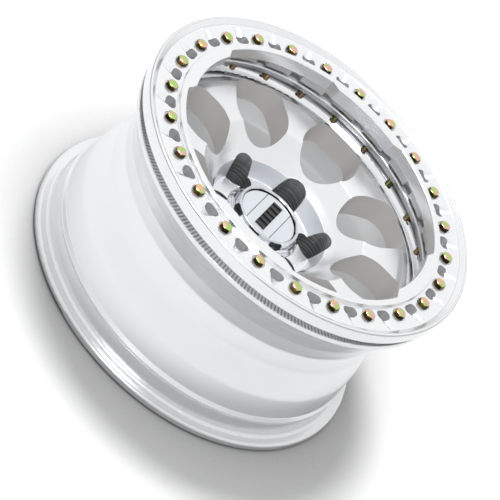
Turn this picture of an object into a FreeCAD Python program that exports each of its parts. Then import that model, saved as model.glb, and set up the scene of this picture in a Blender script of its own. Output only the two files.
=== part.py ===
import FreeCAD, Part
import math
import os
from FreeCAD import Vector

# Off-road wheel with a bolted ring that clamps the outer tyre bead.
# Spin axis is +Z, the outer face looks up, and Z = 0 is the back of the rear flange.
# All sizes are in millimetres.

# Rear flange and bead seat
BEAD_SEAT_R = 218.3
BEAD_SEAT_W = 24.0
FLANGE_H = 17.3
REAR_FLANGE_R = BEAD_SEAT_R + FLANGE_H
REAR_FLANGE_T = 10.4
FLANGE_EDGE_FILLET = 4.0
BEAD_SEAT_TAPER_DEG = 5.0
HUMP_H = 1.4

# Barrel
BARREL_WALL = 4.8
DROP_DEPTH = 14.3
DROP_CENTRE_R = BEAD_SEAT_R - DROP_DEPTH
BARREL_SWEEP_R = 60.0
DROP_CENTRE_Z = 138.0
DROP_CENTRE_W = 16.0

# Front flange, where the tyre bead is clamped
CLAMP_FACE_Z = 225.4
CLAMP_GAP = 10.5
CLAMP_FLANGE_H = 13.5
CLAMP_FLANGE_R = BEAD_SEAT_R + CLAMP_FLANGE_H
CLAMP_FLANGE_T = 6.0
PILOT_STEP = 1.3
PILOT_WALL = 6.0
PILOT_R = BEAD_SEAT_R - PILOT_STEP
PILOT_BORE_R = PILOT_R - PILOT_WALL
FLANGE_ROOT_W = 7.0
FLANGE_ROOT_R = PILOT_R + FLANGE_ROOT_W
FLANGE_ROOT_DROP = 17.6
BARREL_FRONT_DROP = 28.0

# Circle of the ring bolts, which the ledge, slots and ring follow
BOLT_COUNT = 24
BOLT_INSET = 6.3
BOLT_PCR = PILOT_BORE_R - BOLT_INSET
BOLT_FIRST_DEG = 0.0

# Inner flange that carries the ring bolts, and the groove behind it
LEDGE_TOP_Z = 214.3
LEDGE_T = 10.3
LEDGE_REACH = 9.2
LEDGE_LEAN = 4.1
LEDGE_INNER_R = BOLT_PCR - LEDGE_REACH
LEDGE_FOOT_R = LEDGE_INNER_R + LEDGE_LEAN
GROOVE_WALL_STEP = 1.0
GROOVE_WALL_R = PILOT_BORE_R - GROOVE_WALL_STEP
GROOVE_FLOOR_R = 203.5
GROOVE_FLOOR_Z = 181.6
GROOVE_STRAIGHT = 12.0

# Beadlock ring
RING_OVERHANG = 3.3
RING_R = CLAMP_FLANGE_R + RING_OVERHANG
RING_REACH = 20.7
RING_INNER_R = BOLT_PCR - RING_REACH
RING_PLATE_T = 12.5
RING_RAISE = 5.0
STEP_REACH = 12.2
STEP_R = BOLT_PCR - STEP_REACH
LIP_W = 3.6
LIP_SLOPE_W = 6.5
LIP_CREST_R = RING_R - LIP_W
LIP_FOOT_R = LIP_CREST_R - LIP_SLOPE_W
RING_EDGE_FILLET = 1.6
TAB_REACH = 8.0
TAB_INNER_R = RING_INNER_R - TAB_REACH
TAB_COUNT = 4
TAB_CENTRE_DEG = 22.5
TAB_FLAT_HALF_DEG = 15.7
TAB_FOOT_HALF_DEG = 19.3

# Spigot under the ring, which fits the pilot bore
SPIGOT_FIT = 0.3
SPIGOT_REACH = 6.7
SPIGOT_OUTER_R = PILOT_BORE_R - SPIGOT_FIT
SPIGOT_INNER_R = BOLT_PCR - SPIGOT_REACH
SPIGOT_GAP = 2.5

# Slots and scoops in the ring
SLOT_INWARD = 8.5
SLOT_OUTWARD = 4.1
SLOT_INNER_R = BOLT_PCR - SLOT_INWARD
SLOT_OUTER_R = BOLT_PCR + SLOT_OUTWARD
SLOT_LENGTH = 19.6
SLOT_CORNER_R = 5.6
SCOOP_HALF_W = 9.6
SCOOP_STOP = 1.5
SCOOP_REACH_R = LIP_FOOT_R - SCOOP_STOP
SCOOP_SLOPE_DEG = 14.0

# Ring bolts and washers
BOLT_SHANK_R = 4.0
BOLT_HEAD_AF = 13.0
BOLT_HEAD_H = 5.2
BOLT_LENGTH = 56.5
BOLT_TIP_CHAMFER = 0.9
HEAD_CHAMFER_DEG = 30.0
WASHER_R = 8.3
WASHER_T = 1.6
BOLT_CLEARANCE = 0.4
THREAD_FIT = 0.05
SPOT_CLEARANCE = 0.7

# Ledge slots, one between each pair of bolts
LEDGE_SLOT_INWARD = 1.7
LEDGE_SLOT_OUTWARD = 4.3
LEDGE_SLOT_INNER_R = BOLT_PCR - LEDGE_SLOT_INWARD
LEDGE_SLOT_OUTER_R = BOLT_PCR + LEDGE_SLOT_OUTWARD
LEDGE_SLOT_HALF_DEG = 3.6

# Dish and spokes
SPOKE_COUNT = 8
WINDOW_FIRST_DEG = 22.5
FOLD_R = 118.5
FOLD_Z = 195.6
DISH_CREST_R = 172.0
DISH_CREST_Z = 202.4
DISH_EDGE_R = 185.0
DISH_EDGE_Z = 197.2
DISH_SAG = 0.6
DISH_SWEEP_R = 300.0
DISH_CREST_FILLET = 20.0
NOSE_R = 92.0
NOSE_Z = 171.8
SPOKE_BACK_Z = 157.0
SPOKE_BACK_RIM_Z = 167.0
WINDOW_INNER_R = 96.2
WINDOW_INNER_ARC_R = 40.4
WINDOW_OUTER_R = 182.6
WINDOW_CORNER_R = 27.6
WINDOW_CORNER_OFFSET = 10.0

# Hub
HUB_PAD_Z = 86.4
HUB_PAD_R = 84.0
HUB_BACK_R = 91.0
RECESS_MOUTH_R = 82.6
RECESS_MOUTH_Z = 165.0
RECESS_FOOT_R = 73.8
RECESS_FOOT_Z = 143.6
HUB_FACE_Z = 149.2
BORE_R = 53.05
PILOT_DEPTH = 16.0
CAP_BORE_R = 47.0
BORE_CHAMFER = 1.5
CAP_SEAT_DEPTH = 4.0

# Lug holes, pockets and seats
LUG_COUNT = 6
LUG_PCR = 69.85
LUG_FIRST_DEG = -7.5
LUG_HOLE_R = 7.5
LUG_SEAT_R = 12.2
LUG_SEAT_HALF_DEG = 30.0
LUG_POCKET_R = 19.0
LUG_POCKET_FLOOR_Z = 107.4

# Relief pockets in the back of the hub, between the lug holes
RELIEF_DEPTH = 16.0
RELIEF_R = 9.0
RELIEF_PCR = 70.0

# Valve hole
VALVE_HOLE_R = 5.65
VALVE_SPOT_R = 10.0
VALVE_SPOT_DEPTH = 0.4
VALVE_DEG = 22.5
VALVE_Z = 189.0

# Centre cap
CAP_TOP_Z = 163.7
CAP_RIM_R = 43.8
CAP_RIM_W = 3.2
CAP_DISC_R = 38.4
CAP_DISC_T = 1.4
CAP_DISC_DROP = 3.1
CAP_FLANGE_R = 52.4
CAP_FLANGE_T = 2.2
CAP_WAIST_R = 45.2
CAP_WALL = 2.6
CAP_FIT = 0.25
CAP_LEG_DEPTH = 28.0
CAP_LEG_COUNT = 6
CAP_LEG_GAP_W = 9.0
CAP_FLUTE_CLEARANCE = 1.5
CAP_BAND_W = 38.0
CAP_GROOVE_W = 0.9
CAP_GROOVE_D = 0.5
CAP_BAND_DEG = 112.5
WIRE_R = 1.1

# Raised ribbed block on the cap
INLAY_L = 55.0
INLAY_W = 14.5
INLAY_H = 2.6
INLAY_BASE_H = 1.0
INLAY_RIBS = 6
INLAY_RIB_W = 3.6

AXIS = Vector(0, 0, 1)
ORIGIN = Vector(0, 0, 0)

# Heights worked out from the values above
PILOT_TOP_Z = CLAMP_FACE_Z + CLAMP_GAP
RING_BOTTOM_Z = PILOT_TOP_Z
RING_FACE_Z = RING_BOTTOM_Z + RING_PLATE_T
RING_TOP_Z = RING_FACE_Z + RING_RAISE
WASHER_TOP_Z = RING_TOP_Z - BOLT_HEAD_H
WASHER_BOTTOM_Z = WASHER_TOP_Z - WASHER_T
BOLT_TIP_Z = WASHER_TOP_Z - BOLT_LENGTH
LEDGE_BOTTOM_Z = LEDGE_TOP_Z - LEDGE_T
SPIGOT_BOTTOM_Z = LEDGE_TOP_Z + SPIGOT_GAP
BOLT_PITCH_DEG = 360.0 / BOLT_COUNT
LUG_PITCH_DEG = 360.0 / LUG_COUNT
FLANGE_ROOT_Z = CLAMP_FACE_Z - FLANGE_ROOT_DROP
BARREL_FRONT_Z = CLAMP_FACE_Z - BARREL_FRONT_DROP
CAP_SEAT_Z = HUB_FACE_Z - CAP_SEAT_DEPTH


def polar(radius, degrees, z=0.0):
    angle = math.radians(degrees)
    return Vector(radius * math.cos(angle), radius * math.sin(angle), z)


def section_point(pair):
    return Vector(pair[0], 0, pair[1])


def line(start, end):
    return Part.LineSegment(start, end).toShape()


def arc(start, middle, end):
    return Part.Arc(start, middle, end).toShape()


def section_face(steps):
    """Face in the XZ plane. A step is an (r, z) corner, or two pairs for an arc through and to."""
    edges = []
    first = section_point(steps[0])
    here = first
    for step in steps[1:]:
        if isinstance(step[0], tuple):
            middle = section_point(step[0])
            there = section_point(step[1])
            edges.append(arc(here, middle, there))
        else:
            there = section_point(step)
            edges.append(line(here, there))
        here = there
    edges.append(line(here, first))
    return Part.Face(Part.Wire(edges))


def turned(steps):
    return section_face(steps).revolve(ORIGIN, AXIS, 360)


def turned_cylinder(radius, bottom, top, centre=ORIGIN):
    return Part.makeCylinder(radius, top - bottom, Vector(centre.x, centre.y, bottom), AXIS)


def around(shape, degrees):
    copy = shape.copy()
    copy.rotate(ORIGIN, AXIS, degrees)
    return copy


def pattern(shape, count, first_deg=0.0):
    return [around(shape, first_deg + 360.0 * index / count) for index in range(count)]


def rounded_corner(before, corner, after, radius):
    """Start, middle and end of an arc in a section, tangent to both sides of a corner."""
    to_before = (section_point(before) - section_point(corner)).normalize()
    to_after = (section_point(after) - section_point(corner)).normalize()
    half = 0.5 * to_before.getAngle(to_after)
    reach = radius / math.tan(half)
    start = section_point(corner) + to_before * reach
    end = section_point(corner) + to_after * reach
    inward = (to_before + to_after).normalize()
    centre = section_point(corner) + inward * (radius / math.sin(half))
    middle = centre - inward * radius
    return [(point.x, point.z) for point in (start, middle, end)]


def rounded_section(corners):
    """Section steps from corners. A corner is (r, z) or (r, z, fillet)."""
    steps = []
    count = len(corners)
    for index, corner in enumerate(corners):
        if len(corner) == 2:
            steps.append(corner)
            continue
        before = corners[index - 1][:2]
        after = corners[(index + 1) % count][:2]
        start, middle, end = rounded_corner(before, corner[:2], after, corner[2])
        steps.append(start)
        steps.append((middle, end))
    return steps


def belt_wire(circles, z):
    """Outline of a belt run round circles given as (x, y, r), in order against the clock."""
    tangents = []
    count = len(circles)
    for index in range(count):
        ax, ay, ar = circles[index]
        bx, by, br = circles[(index + 1) % count]
        span = math.hypot(bx - ax, by - ay)
        heading = math.atan2(by - ay, bx - ax)
        normal = heading - math.acos((ar - br) / span)
        leave = Vector(ax + ar * math.cos(normal), ay + ar * math.sin(normal), z)
        arrive = Vector(bx + br * math.cos(normal), by + br * math.sin(normal), z)
        tangents.append((leave, arrive, normal))
    edges = []
    for index in range(count):
        x, y, radius = circles[index]
        arrive = tangents[index - 1][1]
        leave, _, end_angle = tangents[index]
        start_angle = tangents[index - 1][2]
        sweep = (end_angle - start_angle) % (2 * math.pi)
        middle_angle = start_angle + 0.5 * sweep
        middle = Vector(x + radius * math.cos(middle_angle), y + radius * math.sin(middle_angle), z)
        edges.append(arc(arrive, middle, leave))
        edges.append(line(leave, tangents[index][1]))
    return Part.Wire(edges)


def belt_prism(circles, bottom, top):
    face = Part.Face(belt_wire(circles, bottom))
    return face.extrude(Vector(0, 0, top - bottom))


# Wheel casting


def barrel_section():
    """Closed section of the whole casting, from the bore round the front to the hub pad."""
    taper = math.tan(math.radians(BEAD_SEAT_TAPER_DEG))
    seat_front_z = REAR_FLANGE_T + BEAD_SEAT_W
    seat_back_r = BEAD_SEAT_R + BEAD_SEAT_W * taper
    hump_z = seat_front_z + 4.0
    drop_front_z = DROP_CENTRE_Z + DROP_CENTRE_W
    drop_back_z = DROP_CENTRE_Z - DROP_CENTRE_W
    well_front_z = GROOVE_FLOOR_Z - 4.0
    well_front_r = GROOVE_FLOOR_R + BARREL_WALL + 1.0
    slope_r = 0.5 * (DROP_CENTRE_R + BEAD_SEAT_R) + 2.0
    slope_z = 0.5 * (drop_back_z + seat_front_z)
    inner_seat_r = BEAD_SEAT_R - BARREL_WALL - 1.0
    inner_drop_r = DROP_CENTRE_R - BARREL_WALL
    crest_mid_r = 0.5 * (FOLD_R + DISH_CREST_R)
    crest_mid_z = 0.5 * (FOLD_Z + DISH_CREST_Z) + DISH_SAG
    return rounded_section([
        # hub face and recess
        (CAP_BORE_R, CAP_SEAT_Z),
        (BORE_R, CAP_SEAT_Z),
        (BORE_R, HUB_FACE_Z, 0.8),
        (RECESS_FOOT_R, RECESS_FOOT_Z, 1.2),
        (RECESS_MOUTH_R, RECESS_MOUTH_Z, 1.5),
        # front of the dish
        (NOSE_R, NOSE_Z, 30.0),
        (FOLD_R, FOLD_Z, 2.0),
        (crest_mid_r, crest_mid_z, DISH_SWEEP_R),
        (DISH_CREST_R, DISH_CREST_Z, DISH_CREST_FILLET),
        (DISH_EDGE_R, DISH_EDGE_Z, 4.0),
        (GROOVE_FLOOR_R, GROOVE_FLOOR_Z, 3.0),
        # groove wall, bolt ledge and pilot
        (GROOVE_WALL_R, LEDGE_BOTTOM_Z - GROOVE_STRAIGHT, 6.0),
        (GROOVE_WALL_R, LEDGE_BOTTOM_Z, 2.0),
        (LEDGE_FOOT_R, LEDGE_BOTTOM_Z, 1.2),
        (LEDGE_INNER_R, LEDGE_TOP_Z, 2.0),
        (PILOT_BORE_R, LEDGE_TOP_Z, 1.5),
        (PILOT_BORE_R, PILOT_TOP_Z, 0.8),
        (PILOT_R, PILOT_TOP_Z, 0.8),
        # clamping face and front flange
        (PILOT_R, CLAMP_FACE_Z, 1.2),
        (CLAMP_FLANGE_R, CLAMP_FACE_Z, 1.2),
        (CLAMP_FLANGE_R, CLAMP_FACE_Z - CLAMP_FLANGE_T, 1.2),
        (FLANGE_ROOT_R, FLANGE_ROOT_Z),
        (PILOT_R, BARREL_FRONT_Z, 4.0),
        # outside of the barrel
        (well_front_r, well_front_z, 12.0),
        (DROP_CENTRE_R, drop_front_z, 18.0),
        (DROP_CENTRE_R, drop_back_z, 30.0),
        (slope_r, slope_z, BARREL_SWEEP_R),
        (BEAD_SEAT_R - 2.0, hump_z + 6.0, 3.0),
        (BEAD_SEAT_R + HUMP_H, hump_z, 2.5),
        (BEAD_SEAT_R, seat_front_z, 2.5),
        (seat_back_r, REAR_FLANGE_T, 4.5),
        # rear flange
        (REAR_FLANGE_R, REAR_FLANGE_T + 1.2, FLANGE_EDGE_FILLET),
        (REAR_FLANGE_R, 0.0, FLANGE_EDGE_FILLET),
        (inner_seat_r + 8.0, 0.0, 3.0),
        # inside of the barrel
        (inner_seat_r, 9.0, 4.0),
        (inner_seat_r, seat_front_z, 30.0),
        (slope_r - BARREL_WALL - 0.6, slope_z, BARREL_SWEEP_R),
        (inner_drop_r, drop_back_z, 30.0),
        (inner_drop_r, SPOKE_BACK_RIM_Z, 10.0),
        # back of the spokes and hub
        (DISH_EDGE_R, SPOKE_BACK_RIM_Z, 10.0),
        (FOLD_R, SPOKE_BACK_Z, 30.0),
        (HUB_BACK_R + 3.0, SPOKE_BACK_Z, 8.0),
        (HUB_BACK_R, HUB_PAD_Z + 7.0, 4.0),
        (HUB_PAD_R, HUB_PAD_Z),
        (BORE_R + BORE_CHAMFER, HUB_PAD_Z),
        (BORE_R, HUB_PAD_Z + BORE_CHAMFER),
        (BORE_R, HUB_PAD_Z + PILOT_DEPTH),
        (CAP_BORE_R, HUB_PAD_Z + PILOT_DEPTH),
    ])


def window_cutter():
    inner_x = WINDOW_INNER_R + WINDOW_INNER_ARC_R
    corner_x = WINDOW_OUTER_R - WINDOW_CORNER_R
    circles = [
        (inner_x, 0.0, WINDOW_INNER_ARC_R),
        (corner_x, -WINDOW_CORNER_OFFSET, WINDOW_CORNER_R),
        (corner_x, WINDOW_CORNER_OFFSET, WINDOW_CORNER_R),
    ]
    return belt_prism(circles, HUB_PAD_Z, RING_TOP_Z)


def lug_cutter():
    centre = Vector(LUG_PCR, 0, 0)
    cone_h = (LUG_SEAT_R - LUG_HOLE_R) / math.tan(math.radians(LUG_SEAT_HALF_DEG))
    pocket = turned_cylinder(LUG_POCKET_R, LUG_POCKET_FLOOR_Z, DISH_CREST_Z, centre)
    seat_base = Vector(LUG_PCR, 0, LUG_POCKET_FLOOR_Z - cone_h)
    seat = Part.makeCone(LUG_HOLE_R, LUG_SEAT_R, cone_h, seat_base, AXIS)
    hole = turned_cylinder(LUG_HOLE_R, HUB_PAD_Z - 1.0, LUG_POCKET_FLOOR_Z, centre)
    return pocket.fuse([seat, hole])


def relief_cutter():
    """Round-ended pocket in the back of the hub, midway between two lug holes."""
    spread = RELIEF_PCR * math.radians(0.12 * LUG_PITCH_DEG)
    circles = [(RELIEF_PCR, -spread, RELIEF_R), (RELIEF_PCR, spread, RELIEF_R)]
    return belt_prism(circles, HUB_PAD_Z - 1.0, HUB_PAD_Z + RELIEF_DEPTH)


def ledge_slot_cutter():
    """Curved slot through the bolt ledge, centred on the X axis."""
    half = LEDGE_SLOT_HALF_DEG
    inner_a = polar(LEDGE_SLOT_INNER_R, -half, LEDGE_BOTTOM_Z - 1.0)
    inner_b = polar(LEDGE_SLOT_INNER_R, half, LEDGE_BOTTOM_Z - 1.0)
    outer_a = polar(LEDGE_SLOT_OUTER_R, -half, LEDGE_BOTTOM_Z - 1.0)
    outer_b = polar(LEDGE_SLOT_OUTER_R, half, LEDGE_BOTTOM_Z - 1.0)
    inner_mid = Vector(LEDGE_SLOT_INNER_R, 0, inner_a.z)
    outer_mid = Vector(LEDGE_SLOT_OUTER_R, 0, inner_a.z)
    edges = [
        arc(inner_a, inner_mid, inner_b),
        line(inner_b, outer_b),
        arc(outer_b, outer_mid, outer_a),
        line(outer_a, inner_a),
    ]
    return Part.Face(Part.Wire(edges)).extrude(Vector(0, 0, LEDGE_T + 2.0))


def valve_cutter():
    """Hole square to the groove wall, with a flat spot on each side."""
    wall_run = LEDGE_BOTTOM_Z - GROOVE_STRAIGHT - GROOVE_FLOOR_Z
    lean = math.atan2(GROOVE_WALL_R - GROOVE_FLOOR_R, wall_run)
    direction = Vector(math.cos(lean), 0, -math.sin(lean))
    wall_r = GROOVE_FLOOR_R + (VALVE_Z - GROOVE_FLOOR_Z) * math.tan(lean)
    wall_point = Vector(wall_r, 0, VALVE_Z)
    hole = Part.makeCylinder(VALVE_HOLE_R, 40.0, wall_point - direction * 20.0, direction)
    outer_spot = Part.makeCylinder(VALVE_SPOT_R, 20.0, wall_point + direction * BARREL_WALL, direction)
    inner_face = wall_point + direction * VALVE_SPOT_DEPTH
    inner_spot = Part.makeCylinder(VALVE_SPOT_R, 12.0, inner_face, direction * -1.0)
    return hole.fuse([outer_spot, inner_spot])


def make_wheel():
    body = turned(barrel_section())
    body = body.cut(pattern(window_cutter(), SPOKE_COUNT, WINDOW_FIRST_DEG))
    body = body.cut(pattern(lug_cutter(), LUG_COUNT, LUG_FIRST_DEG))
    relief_first = LUG_FIRST_DEG + 0.5 * LUG_PITCH_DEG
    body = body.cut(pattern(relief_cutter(), LUG_COUNT, relief_first))
    tapped = turned_cylinder(
        BOLT_SHANK_R + THREAD_FIT, LEDGE_BOTTOM_Z - 1.0, LEDGE_TOP_Z + 1.0, Vector(BOLT_PCR, 0, 0)
    )
    body = body.cut(pattern(tapped, BOLT_COUNT, BOLT_FIRST_DEG))
    slot_first = BOLT_FIRST_DEG + 0.5 * BOLT_PITCH_DEG
    body = body.cut(pattern(ledge_slot_cutter(), BOLT_COUNT, slot_first))
    return body.cut(around(valve_cutter(), VALVE_DEG))


# Beadlock ring


def tab_blank():
    """Plan outline of one wide inward tab, as thick as the ring, centred on the X axis."""
    z = RING_BOTTOM_Z
    reach = STEP_R - 2.0
    foot_a = polar(RING_INNER_R, -TAB_FOOT_HALF_DEG, z)
    flat_a = polar(TAB_INNER_R, -TAB_FLAT_HALF_DEG, z)
    flat_b = polar(TAB_INNER_R, TAB_FLAT_HALF_DEG, z)
    foot_b = polar(RING_INNER_R, TAB_FOOT_HALF_DEG, z)
    root_b = polar(reach, TAB_FOOT_HALF_DEG, z)
    root_a = polar(reach, -TAB_FOOT_HALF_DEG, z)
    edges = [
        line(foot_a, flat_a),
        arc(flat_a, Vector(TAB_INNER_R, 0, z), flat_b),
        line(flat_b, foot_b),
        line(foot_b, root_b),
        arc(root_b, Vector(reach, 0, z), root_a),
        line(root_a, foot_a),
    ]
    return Part.Face(Part.Wire(edges)).extrude(Vector(0, 0, RING_TOP_Z - z))


def ring_blank():
    blank = turned(rounded_section([
        (RING_INNER_R, RING_BOTTOM_Z, 1.0),
        (SPIGOT_INNER_R, RING_BOTTOM_Z, 1.5),
        (SPIGOT_INNER_R, SPIGOT_BOTTOM_Z, 1.0),
        (SPIGOT_OUTER_R, SPIGOT_BOTTOM_Z, 1.0),
        (SPIGOT_OUTER_R, RING_BOTTOM_Z),
        (RING_R, RING_BOTTOM_Z, RING_EDGE_FILLET),
        (RING_R, RING_TOP_Z, 2.2),
        (LIP_CREST_R, RING_TOP_Z, 2.4),
        (LIP_FOOT_R, RING_FACE_Z, 2.4),
        (STEP_R, RING_FACE_Z, 1.0),
        (STEP_R, RING_TOP_Z, 0.8),
        (RING_INNER_R, RING_TOP_Z, RING_EDGE_FILLET),
    ]))
    return blank.fuse(pattern(tab_blank(), TAB_COUNT, TAB_CENTRE_DEG))


def slot_cutter():
    x_in = SLOT_INNER_R + SLOT_CORNER_R
    x_out = SLOT_OUTER_R - SLOT_CORNER_R
    y = 0.5 * SLOT_LENGTH - SLOT_CORNER_R
    circles = [
        (x_in, -y, SLOT_CORNER_R),
        (x_out, -y, SLOT_CORNER_R),
        (x_out, y, SLOT_CORNER_R),
        (x_in, y, SLOT_CORNER_R),
    ]
    return belt_prism(circles, SPIGOT_BOTTOM_Z - 1.0, RING_TOP_Z + 1.0)


def scoop_cutter():
    """Leaning cylinder whose lowest line rises from the slot to the ring's face."""
    slope = math.radians(SCOOP_SLOPE_DEG)
    direction = Vector(math.cos(slope), 0, math.sin(slope))
    up = Vector(-math.sin(slope), 0, math.cos(slope))
    exit_point = Vector(SCOOP_REACH_R, 0, RING_FACE_Z)
    start = exit_point + up * SCOOP_HALF_W - direction * 30.0
    leaning = Part.makeCylinder(SCOOP_HALF_W, 60.0, start, direction)
    guard_x = 0.5 * (SLOT_INNER_R + SLOT_OUTER_R)
    guard = Part.makeBox(60.0, 60.0, 60.0, Vector(guard_x, -30.0, RING_BOTTOM_Z - 20.0))
    return leaning.common(guard)


def make_ring():
    ring = ring_blank()
    hole = turned_cylinder(
        BOLT_SHANK_R + BOLT_CLEARANCE, SPIGOT_BOTTOM_Z - 1.0, RING_TOP_Z, Vector(BOLT_PCR, 0, 0)
    )
    spot = turned_cylinder(
        WASHER_R + SPOT_CLEARANCE, WASHER_BOTTOM_Z, RING_TOP_Z, Vector(BOLT_PCR, 0, 0)
    )
    ring = ring.cut(pattern(hole.fuse(spot), BOLT_COUNT, BOLT_FIRST_DEG))
    slot_first = BOLT_FIRST_DEG + 0.5 * BOLT_PITCH_DEG
    return ring.cut(pattern(slot_cutter().fuse(scoop_cutter()), BOLT_COUNT, slot_first))


# Bolts and washers


def hexagon_prism(across_flats, bottom, height):
    corner_r = 0.5 * across_flats / math.cos(math.radians(30))
    corners = [polar(corner_r, 60 * index, bottom) for index in range(7)]
    return Part.Face(Part.makePolygon(corners)).extrude(Vector(0, 0, height))


def make_bolt():
    head = hexagon_prism(BOLT_HEAD_AF, WASHER_TOP_Z, BOLT_HEAD_H)
    top_r = 0.5 * BOLT_HEAD_AF - 0.2
    reach_r = 0.5 * BOLT_HEAD_AF / math.cos(math.radians(30)) + 1.0
    drop = (reach_r - top_r) * math.tan(math.radians(HEAD_CHAMFER_DEG))
    crown = turned([
        (0.0, WASHER_TOP_Z - 1.0),
        (reach_r, WASHER_TOP_Z - 1.0),
        (reach_r, RING_TOP_Z - drop),
        (top_r, RING_TOP_Z),
        (0.0, RING_TOP_Z),
    ])
    head = head.common(crown)
    shank = turned([
        (0.0, BOLT_TIP_Z),
        (BOLT_SHANK_R - BOLT_TIP_CHAMFER, BOLT_TIP_Z),
        (BOLT_SHANK_R, BOLT_TIP_Z + BOLT_TIP_CHAMFER),
        (BOLT_SHANK_R, WASHER_TOP_Z),
        (0.0, WASHER_TOP_Z),
    ])
    bolt = head.fuse(shank).removeSplitter()
    bolt.translate(Vector(BOLT_PCR, 0, 0))
    return bolt


def make_washer():
    centre = Vector(BOLT_PCR, 0, 0)
    disc = turned_cylinder(WASHER_R, WASHER_BOTTOM_Z, WASHER_TOP_Z, centre)
    hole = turned_cylinder(BOLT_SHANK_R + BOLT_CLEARANCE, WASHER_BOTTOM_Z - 1.0, WASHER_TOP_Z + 1.0, centre)
    return disc.cut(hole)


# Centre cap


def cap_leg_radius():
    return CAP_BORE_R - CAP_FIT


def make_cap_body():
    leg_r = cap_leg_radius()
    seat_z = CAP_TOP_Z - CAP_DISC_DROP
    floor_z = seat_z - CAP_DISC_T
    flange_top_z = CAP_SEAT_Z + CAP_FLANGE_T
    flange_bottom_z = CAP_SEAT_Z
    leg_z = flange_bottom_z - CAP_LEG_DEPTH
    shell = turned(rounded_section([
        (0.0, floor_z - CAP_WALL),
        (0.0, floor_z),
        (CAP_DISC_R + CAP_FIT, floor_z),
        (CAP_DISC_R + CAP_FIT, seat_z),
        (CAP_RIM_R - CAP_RIM_W, CAP_TOP_Z, 0.8),
        (CAP_RIM_R, CAP_TOP_Z, 1.0),
        (CAP_WAIST_R, flange_top_z + 3.0, 6.0),
        (CAP_FLANGE_R, flange_top_z, 0.8),
        (CAP_FLANGE_R, flange_bottom_z),
        (leg_r, flange_bottom_z),
        (leg_r, leg_z),
        (leg_r - CAP_WALL, leg_z),
        (leg_r - CAP_WALL, flange_top_z),
        (CAP_RIM_R - CAP_RIM_W - 0.8, floor_z - CAP_WALL, 3.0),
    ]))
    flute = turned_cylinder(
        LUG_POCKET_R + CAP_FLUTE_CLEARANCE, flange_bottom_z - 1.0, CAP_TOP_Z - 3.0, Vector(LUG_PCR, 0, 0)
    )
    shell = shell.cut(pattern(flute, LUG_COUNT, LUG_FIRST_DEG))
    gap = Part.makeBox(
        CAP_FLANGE_R, CAP_LEG_GAP_W, CAP_LEG_DEPTH, Vector(0, -0.5 * CAP_LEG_GAP_W, leg_z - 4.0)
    )
    return shell.cut(pattern(gap, CAP_LEG_COUNT, LUG_FIRST_DEG))


def make_cap_disc():
    seat_z = CAP_TOP_Z - CAP_DISC_DROP
    disc = turned_cylinder(CAP_DISC_R, seat_z - CAP_DISC_T, seat_z)
    groove = Part.makeBox(
        2.2 * CAP_DISC_R, CAP_GROOVE_W, CAP_GROOVE_D * 2, Vector(-1.1 * CAP_DISC_R, 0, seat_z - CAP_GROOVE_D)
    )
    grooves = []
    for side in (-1, 1):
        copy = groove.copy()
        copy.translate(Vector(0, side * 0.5 * CAP_BAND_W - 0.5 * CAP_GROOVE_W, 0))
        grooves.append(around(copy, CAP_BAND_DEG))
    return disc.cut(grooves)


def make_cap_inlay():
    """Plain ribbed block: a base plate with even ribs across it and a rail at each end."""
    base_z = CAP_TOP_Z - CAP_DISC_DROP
    block = Part.makeBox(INLAY_L, INLAY_W, INLAY_BASE_H, Vector(-0.5 * INLAY_L, -0.5 * INLAY_W, base_z))
    pitch = (INLAY_L - INLAY_RIB_W) / (INLAY_RIBS - 1)
    ribs = []
    for index in range(INLAY_RIBS):
        x = -0.5 * INLAY_L + index * pitch
        rib = Part.makeBox(INLAY_RIB_W, INLAY_W, INLAY_H, Vector(x, -0.5 * INLAY_W, base_z))
        ribs.append(rib)
    block = block.fuse(ribs).removeSplitter()
    return around(block, CAP_BAND_DEG)


def make_cap_wire():
    """Round spring wire inside the cap's legs."""
    centre_r = cap_leg_radius() - CAP_WALL - WIRE_R
    z = CAP_SEAT_Z - CAP_LEG_DEPTH + 3.0 + WIRE_R
    return Part.makeTorus(centre_r, WIRE_R, Vector(0, 0, z), AXIS)


def export(name, solids):
    shape = solids[0] if len(solids) == 1 else Part.makeCompound(solids)
    shape.exportStep(os.path.join("parts", name + ".step"))


os.makedirs("parts", exist_ok=True)
export("wheel", [make_wheel()])
export("beadlock_ring", [make_ring()])
export("ring_bolts", pattern(make_bolt(), BOLT_COUNT, BOLT_FIRST_DEG))
export("ring_washers", pattern(make_washer(), BOLT_COUNT, BOLT_FIRST_DEG))
export("cap_body", [make_cap_body()])
export("cap_disc", [make_cap_disc()])
export("cap_inlay", [make_cap_inlay()])
export("cap_spring_wire", [make_cap_wire()])
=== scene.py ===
import math

import bmesh
import bpy
from mathutils import Matrix, Quaternion, Vector


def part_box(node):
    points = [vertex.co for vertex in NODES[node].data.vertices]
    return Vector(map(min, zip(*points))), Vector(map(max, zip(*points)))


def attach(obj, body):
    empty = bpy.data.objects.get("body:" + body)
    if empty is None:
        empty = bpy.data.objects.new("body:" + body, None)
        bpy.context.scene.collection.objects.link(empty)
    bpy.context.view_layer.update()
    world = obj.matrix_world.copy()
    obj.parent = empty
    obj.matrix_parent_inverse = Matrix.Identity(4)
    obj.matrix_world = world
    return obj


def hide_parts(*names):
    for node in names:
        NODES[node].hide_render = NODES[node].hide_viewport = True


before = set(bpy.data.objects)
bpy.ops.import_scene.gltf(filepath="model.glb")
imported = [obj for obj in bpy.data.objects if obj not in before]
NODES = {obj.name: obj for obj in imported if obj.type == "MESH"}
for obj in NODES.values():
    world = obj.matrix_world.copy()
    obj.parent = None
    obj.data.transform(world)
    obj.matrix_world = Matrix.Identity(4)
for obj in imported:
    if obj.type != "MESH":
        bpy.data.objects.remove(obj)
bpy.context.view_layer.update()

# Camera, worked out from the photograph's perspective
CAMERA_PLACE = Vector((-1.0409, 2.5821, 2.1048))
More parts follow.
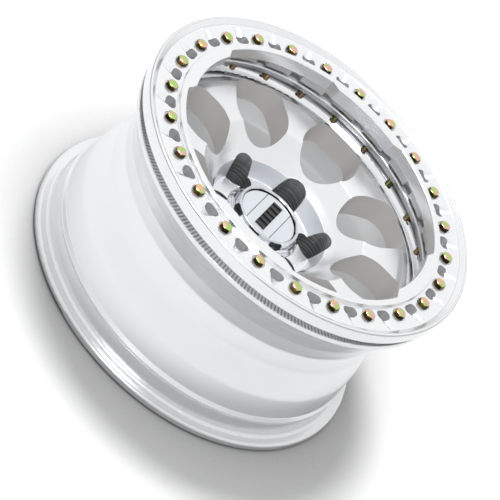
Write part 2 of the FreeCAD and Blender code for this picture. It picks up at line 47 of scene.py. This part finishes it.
CAMERA_FORWARD = Vector((0.29999, -0.75485, -0.58327))
CAMERA_ROLL_DEG = 45.607
LENS_MM = 201.37
SENSOR_MM = 36.0

# Share of mirror metal in the turned alloy, the rest is its fine bright grain
METAL_SHARE = 0.75

# Lamps: place, where it points, size and watts
LAMPS = {
    "key": ((0.85, -0.45, 3.3), (0.0, 0.0, 0.1), 0.8, 84.0),
    "front": ((-0.90, 2.20, 1.90), (0.0, 0.0, 0.1), 1.2, 18.0),
    "under_light": ((0.0, 0.0, 0.004), (0.0, 0.0, 1.0), 0.40, 0.14),
}

# World: what metal shows from the horizon up, and the even fill light
HORIZON = (0.60, 0.62, 0.65, 1.0)
OVERHEAD = (0.90, 0.91, 0.93, 1.0)
BRIGHTEST_HEIGHT = 0.3
WHITE = (1.0, 1.0, 1.0, 1.0)
FILL_STRENGTH = 0.24

# Floor, with painted contact shade, darker where the wheel is near
FLOOR_REACH = 12.0
FLOOR_COLOUR = (0.95, 0.95, 0.955)
FLOOR_GLOW = 0.12
CONTACT_SHADE_COLOUR = (0.05, 0.05, 0.05)
CONTACT_REACH = 0.16
CONTACT_POWER = 1.4
CONTACT_SAMPLES = 8

# Where the finishes and the painted shade change, as ranges of radius and height
EDGE_SOFT = 0.0002
DISH_R = (0.0935, 0.1855)
DISH_SOFT = 0.0003
BACK_R = (0.1875, 0.1865)
BACK_Z = (0.090, 0.0905)
RECESS_R = (0.0728, 0.0832)
RECESS_Z = (0.1425, 0.1662)
GROOVE_R = (0.2030, 0.2103)
GROOVE_Z = (0.1812, 0.2042)
POCKET_Z = (0.0875, 0.1735)
RIM_EDGE_R = (0.2340, 0.2352)
RING_SLOT_R = (0.1938, 0.2105)
RING_EDGE_R = (0.2335, 0.2350)
RING_TOP_CORNER_Z = (0.2508, 0.2520)
RING_BOTTOM_CORNER_Z = (0.2377, 0.2369)
RING_LINES_R = (0.2253, 0.2318)
CAP_GAP_R = (0.0380, 0.0398)
CAP_GAP_Z = (0.1600, 0.1604)

# Ring bolts
BOLT_COUNT = 24
HEAD_FLATS = 0.013
HEAD_HEIGHT = 0.0052
HEAD_CORNER_R = 0.5 * HEAD_FLATS / math.cos(math.radians(30.0))
HEAD_TOP_ROUND = 0.0003
HEAD_TOP_DROP = 0.0001
HEAD_TOP_R = 0.5 * HEAD_FLATS - HEAD_TOP_ROUND
HEAD_BEVEL = 0.0002
HEAD_SIDES = 36
CHAMFER_STEPS = 5
SHANK_R = 0.004
SHANK_SIDES = 20
THREAD_PITCH = 0.00125
THREAD_DEPTH = 0.00055
THREAD_LENGTH = 0.026
THREAD_RUNOUT = 0.0006
THREAD_ROWS = 6
TIP_TAPER = 0.0012
TIP_INSET = 0.0008

# Teeth on the clamping face
TEETH_COUNT = 300
TEETH_INNER_R = 0.2182
TEETH_OUTER_R = 0.2310
TEETH_FACE_Z = 0.2254
TEETH_HEIGHT = 0.0008
TOOTH_PROFILE = ((-0.36, 0.0), (-0.16, TEETH_HEIGHT), (0.16, TEETH_HEIGHT), (0.36, 0.0))

# Lip round the ring, from its inner slope to its outer wall
LIP_STEPS = 288
LIP_CREST_STEPS = 6
LIP_EDGE_STEPS = 8
LIP_SLOPE_START = (0.2259, 0.24909)
LIP_CREST = (0.2315, 0.2534)
LIP_CREST_FILLET = 0.0024
LIP_EDGE = (0.2351, 0.2534)
LIP_EDGE_FILLET = 0.0022
LIP_WALL_END_Z = 0.2506
LIP_PROUD = 0.000015
LIP_DEPTH = 0.0012

# Top of the cap's disc, below which its two cut lines get painted shade
DISC_TOP_Z = 0.1606

# Lug pockets in the hub
LUG_COUNT = 6
LUG_PCR = 0.06985
LUG_FIRST_DEG = -7.5
LUG_POCKET_R = 0.019


# Camera, floor and light


def make_camera():
    data = bpy.data.cameras.new("camera")
    data.lens = LENS_MM
    data.sensor_width = SENSOR_MM
    data.clip_end = 50.0
    camera = bpy.data.objects.new("camera", data)
    bpy.context.scene.collection.objects.link(camera)
    camera.location = CAMERA_PLACE
    look = CAMERA_FORWARD.to_track_quat("-Z", "Y")
    roll = Quaternion((0.0, 0.0, 1.0), math.radians(CAMERA_ROLL_DEG))
    camera.rotation_mode = "QUATERNION"
    camera.rotation_quaternion = look @ roll
    bpy.context.scene.camera = camera


class Finish:
    """One material, with short calls for the nodes that the finishes share."""

    def __init__(self, name):
        self.material = bpy.data.materials.new(name)
        self.material.use_nodes = True
        self.nodes = self.material.node_tree.nodes
        self.links = self.material.node_tree.links
        self.surface = self.nodes["Principled BSDF"]
        self.place = self.nodes.new("ShaderNodeTexCoord").outputs["Object"]

    def feed(self, socket, value):
        if isinstance(value, bpy.types.NodeSocket):
            self.links.new(value, socket)
        else:
            socket.default_value = value

    def set(self, **values):
        for key, value in values.items():
            self.feed(self.surface.inputs[key.replace("_", " ")], value)

    def math(self, operation, first, second=0.0, clamp=False):
        node = self.nodes.new("ShaderNodeMath")
        node.operation = operation
        node.use_clamp = clamp
        self.feed(node.inputs[0], first)
        self.feed(node.inputs[1], second)
        return node.outputs[0]

    def step(self, value, low, high):
        """0 below low, 1 above high, smooth between. With low above high it runs the other way."""
        node = self.nodes.new("ShaderNodeMapRange")
        node.interpolation_type = "SMOOTHSTEP"
        backwards = low > high
        self.feed(node.inputs["Value"], value)
        node.inputs["From Min"].default_value = min(low, high)
        node.inputs["From Max"].default_value = max(low, high)
        node.inputs["To Min"].default_value = 1.0 if backwards else 0.0
        node.inputs["To Max"].default_value = 0.0 if backwards else 1.0
        return node.outputs["Result"]

    def band(self, value, low, high, soft):
        rise = self.step(value, low - soft, low + soft)
        fall = self.step(value, high + soft, high - soft)
        return self.math("MULTIPLY", rise, fall)

    def zone(self, radius, height, radii, heights):
        """1 within both ranges, 0 elsewhere."""
        across = self.band(radius, *radii, EDGE_SOFT)
        return self.math("MULTIPLY", across, self.band(height, *heights, EDGE_SOFT))

    def scale(self, value, low, high):
        """Maps 0..1 to low..high."""
        node = self.nodes.new("ShaderNodeMapRange")
        self.feed(node.inputs["Value"], value)
        node.inputs["To Min"].default_value = low
        node.inputs["To Max"].default_value = high
        return node.outputs["Result"]

    def mix(self, factor, first, second):
        node = self.nodes.new("ShaderNodeMix")
        node.data_type = "FLOAT"
        self.feed(node.inputs[0], factor)
        self.feed(node.inputs[2], first)
        self.feed(node.inputs[3], second)
        return node.outputs[0]

    def blend(self, factor, first, second):
        node = self.nodes.new("ShaderNodeMix")
        node.data_type = "RGBA"
        self.feed(node.inputs[0], factor)
        for socket, colour in ((node.inputs[6], first), (node.inputs[7], second)):
            self.feed(socket, colour if isinstance(colour, bpy.types.NodeSocket) else (*colour, 1.0))
        return node.outputs[2]

    def noise(self, vector, scale, detail=2.0, roughness=0.5):
        node = self.nodes.new("ShaderNodeTexNoise")
        self.feed(node.inputs["Vector"], vector)
        node.inputs["Scale"].default_value = scale
        node.inputs["Detail"].default_value = detail
        node.inputs["Roughness"].default_value = roughness
        return node.outputs["Fac"]

    def apart(self, vector):
        node = self.nodes.new("ShaderNodeSeparateXYZ")
        self.feed(node.inputs[0], vector)
        return node.outputs

    def together(self, x, y, z):
        node = self.nodes.new("ShaderNodeCombineXYZ")
        for socket, value in zip(node.inputs, (x, y, z)):
            self.feed(socket, value)
        return node.outputs[0]

    def bump(self, height, distance, strength=1.0, normal=None):
        node = self.nodes.new("ShaderNodeBump")
        self.feed(node.inputs["Height"], height)
        node.inputs["Distance"].default_value = distance
        node.inputs["Strength"].default_value = strength
        if normal is not None:
            self.feed(node.inputs["Normal"], normal)
        return node.outputs[0]

    def length(self, x, y):
        square = self.math("ADD", self.math("MULTIPLY", x, x), self.math("MULTIPLY", y, y))
        return self.math("SQRT", square)

    def polar(self):
        """Distance from the spin axis, angle round it and height."""
        x, y, z = self.apart(self.place)
        return self.length(x, y), self.math("ARCTAN2", y, x), z

    def facing_up(self):
        """How far the surface faces up, from -1 to 1."""
        normal = self.nodes.new("ShaderNodeNewGeometry").outputs["True Normal"]
        return self.apart(normal)[2]


def make_floor():
    reach = FLOOR_REACH
    corners = [(-reach, -reach, 0.0), (reach, -reach, 0.0), (reach, reach, 0.0), (-reach, reach, 0.0)]
    mesh = bpy.data.meshes.new("floor")
    mesh.from_pydata(corners, [], [(0, 1, 2, 3)])
    floor = bpy.data.objects.new("floor", mesh)
    bpy.context.scene.collection.objects.link(floor)
    floor.data.materials.append(floor_finish())


def seen_directly(nodes, links):
    """1 for camera, glossy and transmission rays, 0 for the rays that only light things."""
    path = nodes.new("ShaderNodeLightPath").outputs
    total = path["Is Camera Ray"]
    for name in ("Is Glossy Ray", "Is Transmission Ray"):
        node = nodes.new("ShaderNodeMath")
        node.operation = "MAXIMUM"
        links.new(total, node.inputs[0])
        links.new(path[name], node.inputs[1])
        total = node.outputs[0]
    return total


def floor_finish():
    """White, with the shadow kept, painted contact shade darker near the wheel, and clear from below."""
    finish = Finish("floor_white")
    nodes = finish.nodes
    near = nodes.new("ShaderNodeAmbientOcclusion")
    near.samples = CONTACT_SAMPLES
    near.inputs["Distance"].default_value = CONTACT_REACH
    open_sky = finish.math("POWER", near.outputs["AO"], CONTACT_POWER)
    # painted contact shade: the floor's colour and glow go darker where the wheel is near
    finish.set(Base_Color=finish.blend(open_sky, CONTACT_SHADE_COLOUR, FLOOR_COLOUR))
    finish.set(Roughness=0.95, Specular_IOR_Level=0.0)
    seen = finish.math("MULTIPLY", seen_directly(nodes, finish.links), open_sky)
    finish.set(Emission_Color=WHITE, Emission_Strength=finish.math("MULTIPLY", seen, FLOOR_GLOW))
    clear = nodes.new("ShaderNodeBsdfTransparent")
    backfacing = nodes.new("ShaderNodeNewGeometry").outputs["Backfacing"]
    mix = nodes.new("ShaderNodeMixShader")
    finish.links.new(backfacing, mix.inputs[0])
    finish.links.new(finish.surface.outputs[0], mix.inputs[1])
    finish.links.new(clear.outputs[0], mix.inputs[2])
    finish.links.new(mix.outputs[0], nodes["Material Output"].inputs["Surface"])
    return finish.material


def make_world():
    """Pale studio, seen white. Metal mirrors a soft grey horizon, and the fill light is even."""
    world = bpy.data.worlds.new("studio")
    world.use_nodes = True
    bpy.context.scene.world = world
    nodes = world.node_tree.nodes
    links = world.node_tree.links
    place = nodes.new("ShaderNodeTexCoord").outputs["Generated"]
    height = nodes.new("ShaderNodeSeparateXYZ")
    links.new(place, height.inputs[0])
    ramp = nodes.new("ShaderNodeValToRGB")
    ramp.color_ramp.elements[0].position = 0.0
    ramp.color_ramp.elements[0].color = HORIZON
    ramp.color_ramp.elements[1].position = 1.0
    ramp.color_ramp.elements[1].color = OVERHEAD
    ramp.color_ramp.elements.new(BRIGHTEST_HEIGHT).color = WHITE
    links.new(height.outputs[2], ramp.inputs[0])
    links.new(ramp.outputs[0], nodes["Background"].inputs["Color"])
    fill = nodes.new("ShaderNodeBackground")
    fill.inputs["Color"].default_value = WHITE
    fill.inputs["Strength"].default_value = FILL_STRENGTH
    mirrored = nodes.new("ShaderNodeMixShader")
    links.new(seen_directly(nodes, links), mirrored.inputs[0])
    links.new(fill.outputs[0], mirrored.inputs[1])
    links.new(nodes["Background"].outputs[0], mirrored.inputs[2])
    white = nodes.new("ShaderNodeBackground")
    white.inputs["Color"].default_value = WHITE
    backdrop = nodes.new("ShaderNodeMixShader")
    links.new(nodes.new("ShaderNodeLightPath").outputs["Is Camera Ray"], backdrop.inputs[0])
    links.new(mirrored.outputs[0], backdrop.inputs[1])
    links.new(white.outputs[0], backdrop.inputs[2])
    links.new(backdrop.outputs[0], nodes["World Output"].inputs["Surface"])


def area_lamp(name, place, target, size, watts):
    data = bpy.data.lights.new(name, "AREA")
    data.shape = "DISK"
    data.energy = watts
    data.size = size
    lamp = bpy.data.objects.new(name, data)
    bpy.context.scene.collection.objects.link(lamp)
    lamp.location = place
    lamp.rotation_mode = "QUATERNION"
    aim = Vector(target) - Vector(place)
    lamp.rotation_quaternion = aim.to_track_quat("-Z", "Y")


# Finishes


def turned_marks(finish, radius, height):
    """Fine rings left by turning, as a height from 0 to 1."""
    across = finish.together(radius, height, 0.0)
    broad = finish.noise(across, 420.0, 3.0, 0.6)
    fine = finish.noise(across, 2600.0, 1.0, 0.5)
    return finish.mix(0.4, broad, fine)


def wheel_finish():
    """Turned alloy, with cast window walls and a satin recess, painted shade and reflection in turned rings
    in the lug pockets, and painted shade in the teeth valleys and on the rim's outer wall.
    """
    finish = Finish("wheel_alloy")
    radius, angle, height = finish.polar()
    up = finish.facing_up()
    steep = finish.band(up, -0.34, 0.34, 0.04)
    in_dish = finish.band(radius, *DISH_R, DISH_SOFT)
    window = finish.math("MULTIPLY", steep, in_dish)
    back = finish.math("MULTIPLY", finish.step(up, -0.25, -0.35), finish.step(radius, *BACK_R))
    back = finish.math("MULTIPLY", back, finish.step(height, *BACK_Z))
    cast = finish.math("MAXIMUM", window, back)
    pocket = lug_pocket_mask(finish, radius, angle, height)
    recess = finish.zone(radius, height, RECESS_R, RECESS_Z)
    groove = finish.zone(radius, height, GROOVE_R, GROOVE_Z)
    marks = turned_marks(finish, radius, height)
    grain = finish.noise(finish.place, 1400.0, 3.0, 0.6)
    rings = finish.noise(finish.together(0.0, 0.0, height), 620.0, 4.0, 0.7)
    bright = finish.blend(marks, (0.80, 0.805, 0.815), (0.87, 0.875, 0.885))
    satin = finish.blend(grain, (0.70, 0.73, 0.77), (0.78, 0.80, 0.83))
    dull = finish.blend(grain, (0.74, 0.72, 0.695), (0.83, 0.81, 0.79))
    # painted shade and reflection in the lug pockets, banded by the turned rings
    dark = finish.blend(finish.step(rings, 0.42, 0.60), (0.045, 0.046, 0.048), (0.66, 0.665, 0.675))
    # painted shade in the valleys between the clamping teeth
    valley_shade = finish.math(
        "MULTIPLY",
        finish.band(radius, TEETH_INNER_R, TEETH_OUTER_R, 0.0001),
        finish.band(height, TEETH_FACE_Z - EDGE_SOFT, TEETH_FACE_Z + EDGE_SOFT, 0.0001),
    )
    # painted shade on the rim's outer wall
    rim_edge_shade = finish.step(radius, *RIM_EDGE_R)
    bright = finish.blend(valley_shade, bright, (0.42, 0.42, 0.43))
    bright = finish.blend(rim_edge_shade, bright, (0.72, 0.725, 0.735))
    colour = finish.blend(cast, bright, dull)
    colour = finish.blend(recess, colour, satin)
    colour = finish.blend(pocket, colour, dark)
    roughness = finish.mix(cast, finish.scale(marks, 0.18, 0.30), 0.75)
    roughness = finish.mix(recess, roughness, 0.42)
    roughness = finish.mix(groove, roughness, 0.07)
    metallic = finish.mix(cast, METAL_SHARE, 0.0)
    metallic = finish.mix(finish.math("MAXIMUM", groove, pocket), metallic, finish.mix(pocket, 1.0, 0.5))
    relief = finish.mix(cast, finish.math("MULTIPLY", marks, 0.25), grain)
    relief = finish.mix(pocket, relief, finish.math("MULTIPLY", rings, 3.0))
    finish.set(Base_Color=colour, Roughness=roughness, Metallic=metallic)
    finish.set(Normal=finish.bump(relief, 0.00012))
    return finish.material


def lug_pocket_mask(finish, radius, angle, height):
    """1 inside the lug pockets: the angle is folded onto one pocket."""
    pitch = 2.0 * math.pi / LUG_COUNT
    shifted = finish.math("SUBTRACT", angle, math.radians(LUG_FIRST_DEG) - 0.5 * pitch)
    folded = finish.math("SUBTRACT", finish.math("FLOORED_MODULO", shifted, pitch), 0.5 * pitch)
    along = finish.math("SUBTRACT", finish.math("MULTIPLY", radius, finish.math("COSINE", folded)), LUG_PCR)
    across = finish.math("MULTIPLY", radius, finish.math("SINE", folded))
    distance = finish.length(along, across)
    inside = finish.step(distance, LUG_POCKET_R + 0.0003, LUG_POCKET_R + 0.0001)
    return finish.math("MULTIPLY", inside, finish.band(height, *POCKET_Z, EDGE_SOFT))


def ring_finish():
    """Turned alloy, with milled grey slot walls and painted shade along the outer corners and the lip's
    edges.
    """
    finish = Finish("ring_alloy")
    radius, _, height = finish.polar()
    up = finish.facing_up()
    steep = finish.band(up, -0.3, 0.3, 0.04)
    slot = finish.math("MULTIPLY", steep, finish.band(radius, *RING_SLOT_R, EDGE_SOFT))
    marks = turned_marks(finish, radius, height)
    bright = finish.blend(marks, (0.84, 0.845, 0.855), (0.90, 0.905, 0.91))
    # painted shade along the ring's outer corners and in thin lines at the lip's edges
    top_corner = finish.step(height, *RING_TOP_CORNER_Z)
    corners = finish.math("MAXIMUM", top_corner, finish.step(height, *RING_BOTTOM_CORNER_Z))
    edge = finish.math("MULTIPLY", finish.step(radius, *RING_EDGE_R), corners)
    for line_r in RING_LINES_R:
        line = finish.band(radius, line_r - EDGE_SOFT, line_r + EDGE_SOFT, EDGE_SOFT)
        edge = finish.math("MAXIMUM", edge, line)
    bright = finish.blend(edge, bright, (0.55, 0.56, 0.57))
    milled = finish.noise(finish.together(0.0, 0.0, height), 1500.0, 2.0)
    grey = finish.blend(milled, (0.50, 0.50, 0.51), (0.80, 0.80, 0.81))
    finish.set(Base_Color=finish.blend(slot, bright, grey), Metallic=finish.mix(slot, METAL_SHARE, 0.2))
    finish.set(Roughness=finish.mix(slot, finish.scale(marks, 0.16, 0.26), 0.35))
    finish.set(Normal=finish.bump(marks, 0.00003))
    return finish.material


def zinc_finish():
    """Yellow-passivated zinc: patchy green, pink and orange on top, with painted dark reflection in gold on
    the flats.
    """
    finish = Finish("bolt_zinc")
    up = finish.facing_up()
    patches = finish.noise(finish.place, 95.0, 1.0, 0.4)
    green_pink = finish.blend(finish.step(patches, 0.46, 0.54), (0.47, 0.64, 0.20), (0.80, 0.46, 0.41))
    top = finish.blend(finish.step(patches, 0.62, 0.68), green_pink, (0.78, 0.56, 0.20))
    # painted dark reflection on the flats, darker than the tops
    side = finish.blend(finish.step(patches, 0.35, 0.65), (0.020, 0.013, 0.003), (0.065, 0.046, 0.011))
    colour = finish.blend(finish.step(up, 0.5, 0.95), side, top)
    speckle = finish.noise(finish.place, 2200.0, 2.0)
    finish.set(Base_Color=colour, Metallic=1.0, Roughness=finish.scale(speckle, 0.14, 0.30))
    finish.set(Normal=finish.bump(speckle, 0.00002))
    return finish.material


def chrome_finish():
    """Chrome, with painted shade in the narrow gap round the disc."""
    finish = Finish("cap_chrome")
    smear = finish.noise(finish.place, 60.0, 2.0)
    radius, _, height = finish.polar()
    # painted shade in the narrow gap round the disc
    gap = finish.band(radius, *CAP_GAP_R, 0.0001)
    gap = finish.math("MULTIPLY", gap, finish.step(height, *CAP_GAP_Z))
    plate = finish.blend(smear, (0.62, 0.64, 0.67), (0.74, 0.755, 0.78))
    finish.set(Base_Color=finish.blend(gap, plate, (0.02, 0.02, 0.021)), Metallic=1.0)
    finish.set(Roughness=finish.scale(smear, 0.05, 0.12))
    return finish.material


def silver_finish():
    """Fine satin paint on the cap's disc, with painted shade in its cut lines."""
    finish = Finish("cap_silver")
    fleck = finish.noise(finish.place, 3500.0, 1.0)
    paint = finish.blend(fleck, (0.56, 0.59, 0.62), (0.64, 0.67, 0.70))
    # painted shade in the cut lines below the disc's top
    cut_shade = finish.step(finish.polar()[2], DISC_TOP_Z - 0.00005, DISC_TOP_Z - 0.0001)
    finish.set(Base_Color=finish.blend(cut_shade, paint, (0.03, 0.03, 0.032)), Metallic=0.5)
    finish.set(Roughness=finish.scale(fleck, 0.42, 0.52))
    return finish.material


def black_finish():
    finish = Finish("inlay_black")
    grain = finish.noise(finish.place, 2500.0, 2.0)
    finish.set(Base_Color=finish.blend(grain, (0.006, 0.006, 0.007), (0.014, 0.014, 0.015)))
    finish.set(Roughness=finish.scale(grain, 0.20, 0.34))
    finish.set(Normal=finish.bump(grain, 0.00004))
    return finish.material


def steel_finish(name, low, high):
    finish = Finish(name)
    brushed = finish.noise(finish.place, 900.0, 3.0)
    finish.set(Base_Color=finish.blend(brushed, low, high), Metallic=1.0)
    finish.set(Roughness=finish.scale(brushed, 0.22, 0.36))
    finish.set(Normal=finish.bump(brushed, 0.00003))
    return finish.material


# Pieces made here


def add_piece(name, bm, material, smooth_deg):
    bmesh.ops.recalc_face_normals(bm, faces=bm.faces)
    mesh = bpy.data.meshes.new(name)
    bm.to_mesh(mesh)
    bm.free()
    for polygon in mesh.polygons:
        polygon.use_smooth = True
    mesh.set_sharp_from_angle(angle=math.radians(smooth_deg))
    mesh.materials.append(material)
    piece = bpy.data.objects.new(name, mesh)
    bpy.context.scene.collection.objects.link(piece)
    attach(piece, "root")
    return piece


def loft(bm, rings):
    """Joins rings of points into a tube, capped at its ends."""
    rows = [[bm.verts.new(point) for point in ring] for ring in rings]
    count = len(rows[0])
    for lower, upper in zip(rows, rows[1:]):
        for index in range(count):
            following = (index + 1) % count
            bm.faces.new((lower[index], lower[following], upper[following], upper[index]))
    bm.faces.new(tuple(reversed(rows[0])))
    bm.faces.new(tuple(rows[-1]))


def circle_points(radius, z, count):
    turn = 2.0 * math.pi / count
    return [Vector((radius * math.cos(turn * i), radius * math.sin(turn * i), z)) for i in range(count)]


def bolt_head(bm, seat_z, top_z):
    """Hexagon head with its corners turned off, as a loft of rings."""
    slope = math.tan(math.radians(30.0))

    def ring(z, cap_r):
        points = []
        for index in range(HEAD_SIDES):
            angle = 2.0 * math.pi * index / HEAD_SIDES
            offset = (angle + math.radians(30.0)) % math.radians(60.0) - math.radians(30.0)
            flat_r = 0.5 * HEAD_FLATS / math.cos(math.radians(30.0) - abs(offset))
            points.append((angle, min(flat_r, cap_r)))
        return [Vector((r * math.cos(a), r * math.sin(a), z)) for a, r in points]

    rings = [ring(seat_z, HEAD_CORNER_R - HEAD_BEVEL), ring(seat_z + HEAD_BEVEL, HEAD_CORNER_R)]
    for step in range(CHAMFER_STEPS + 1):
        cap_r = HEAD_CORNER_R + (HEAD_TOP_R - HEAD_CORNER_R) * step / CHAMFER_STEPS
        rings.append(ring(top_z - (cap_r - HEAD_TOP_R) * slope - HEAD_TOP_DROP, cap_r))
    rings.append(circle_points(HEAD_TOP_R - HEAD_TOP_ROUND, top_z, HEAD_SIDES))
    loft(bm, rings)


def bolt_shank(bm, tip_z, seat_z):
    """Shank, threaded near its tip: rings of points whose radius follows a helix, then a plain part."""
    rows = int(THREAD_LENGTH / THREAD_PITCH * THREAD_ROWS)
    rings = []
    for row in range(rows + 1):
        z = tip_z + THREAD_LENGTH * row / rows
        taper = min(1.0, (z - tip_z) / TIP_TAPER)
        ring = []
        for side in range(SHANK_SIDES):
            angle = 2.0 * math.pi * side / SHANK_SIDES
            phase = (z / THREAD_PITCH - side / SHANK_SIDES) % 1.0
            depth = THREAD_DEPTH * abs(2.0 * phase - 1.0) + TIP_INSET * (1.0 - taper)
            radius = SHANK_R - depth
            ring.append(Vector((radius * math.cos(angle), radius * math.sin(angle), z)))
        rings.append(ring)
    rings.append(circle_points(SHANK_R, tip_z + THREAD_LENGTH + THREAD_RUNOUT, SHANK_SIDES))
    rings.append(circle_points(SHANK_R, seat_z, SHANK_SIDES))
    loft(bm, rings)


def make_bolts(material):
    """Bolts with rolled thread and rounded heads, in place of the plain ones."""
    low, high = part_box("ring_bolts")
    seat_z = high.z - HEAD_HEIGHT
    circle_r = high.x - HEAD_CORNER_R
    one = bmesh.new()
    bolt_head(one, seat_z, high.z)
    bolt_shank(one, low.z, seat_z)
    one_mesh = bpy.data.meshes.new("one_bolt")
    one.to_mesh(one_mesh)
    one.free()
    everyone = bmesh.new()
    for index in range(BOLT_COUNT):
        first = len(everyone.verts)
        everyone.from_mesh(one_mesh)
        everyone.verts.ensure_lookup_table()
        turn = Matrix.Rotation(2.0 * math.pi * index / BOLT_COUNT, 4, "Z")
        place = turn @ Matrix.Translation((circle_r, 0.0, 0.0))
        bmesh.ops.transform(everyone, matrix=place, verts=everyone.verts[first:])
    bpy.data.meshes.remove(one_mesh)
    bolts = add_piece("threaded_bolts", everyone, material, 28.0)
    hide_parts("ring_bolts")


def make_teeth(material):
    """Radial teeth that grip the tyre bead, each a low ridge with sloping sides."""
    bm = bmesh.new()
    pitch = 2.0 * math.pi / TEETH_COUNT
    for index in range(TEETH_COUNT):
        centre = pitch * index
        corners = []
        for radius in (TEETH_INNER_R, TEETH_OUTER_R):
            for share, z in TOOTH_PROFILE:
                angle = centre + share * pitch
                point = (radius * math.cos(angle), radius * math.sin(angle), TEETH_FACE_Z + z)
                corners.append(bm.verts.new(point))
        inner = corners[:4]
        outer = corners[4:]
        for left in range(3):
            bm.faces.new((inner[left], inner[left + 1], outer[left + 1], outer[left]))
        bm.faces.new(tuple(reversed(inner)))
        bm.faces.new(tuple(outer))
        bm.faces.new((inner[0], outer[0], outer[3], inner[3]))
    add_piece("clamping_teeth", bm, material, 20.0)


def fillet_points(centre, radius, start_deg, end_deg, steps):
    """Points of an arc in a section, as radius and height."""
    turn = [math.radians(start_deg + (end_deg - start_deg) * step / steps) for step in range(steps + 1)]
    return [(centre[0] + radius * math.cos(a), centre[1] + radius * math.sin(a)) for a in turn]


def make_lip(material):
    """Turned skin over the ring's lip, just proud of the solid, so the lip runs on between the scoops."""
    slope = math.atan2(LIP_CREST[1] - LIP_SLOPE_START[1], LIP_CREST[0] - LIP_SLOPE_START[0])
    reach = LIP_CREST_FILLET * math.tan(0.5 * slope)
    crest = (LIP_CREST[0] + reach, LIP_CREST[1] - LIP_CREST_FILLET)
    edge = (LIP_EDGE[0] - LIP_EDGE_FILLET, LIP_EDGE[1] - LIP_EDGE_FILLET)
    start_r = LIP_SLOPE_START[0] - LIP_PROUD * math.sin(slope)
    start_z = LIP_SLOPE_START[1] + LIP_PROUD * math.cos(slope)
    lean = 90.0 + math.degrees(slope)
    section = [(start_r, start_z)]
    section += fillet_points(crest, LIP_CREST_FILLET + LIP_PROUD, lean, 90.0, LIP_CREST_STEPS)
    section += fillet_points(edge, LIP_EDGE_FILLET + LIP_PROUD, 90.0, 0.0, LIP_EDGE_STEPS)
    section.append((LIP_EDGE[0] + LIP_PROUD, LIP_WALL_END_Z))
    section.append((LIP_EDGE[0] - LIP_DEPTH, LIP_WALL_END_Z))
    section.append((LIP_SLOPE_START[0] + LIP_DEPTH, LIP_SLOPE_START[1]))
    bm = bmesh.new()
    rows = []
    for index in range(LIP_STEPS):
        angle = 2.0 * math.pi * index / LIP_STEPS
        rows.append([bm.verts.new((r * math.cos(angle), r * math.sin(angle), z)) for r, z in section])
    for index, row in enumerate(rows):
        following = rows[(index + 1) % LIP_STEPS]
        for low in range(len(section)):
            high = (low + 1) % len(section)
            bm.faces.new((row[low], row[high], following[high], following[low]))
    add_piece("ring_lip_skin", bm, material, 25.0)


def dress(name, material):
    node = NODES[name]
    node.data.materials.clear()
    node.data.materials.append(material)


make_camera()
make_floor()
make_world()
for lamp_name, lamp_values in LAMPS.items():
    area_lamp(lamp_name, *lamp_values)

wheel_material = wheel_finish()
dress("wheel", wheel_material)
ring_material = ring_finish()
dress("beadlock_ring", ring_material)
make_lip(ring_material)
dress("ring_washers", steel_finish("washer_steel", (0.55, 0.54, 0.50), (0.70, 0.69, 0.66)))
dress("cap_body", chrome_finish())
dress("cap_disc", silver_finish())
dress("cap_inlay", black_finish())
dress("cap_spring_wire", steel_finish("wire_steel", (0.40, 0.41, 0.42), (0.55, 0.56, 0.57)))
make_bolts(zinc_finish())
make_teeth(wheel_material)

bpy.context.scene.view_settings.view_transform = "Standard"
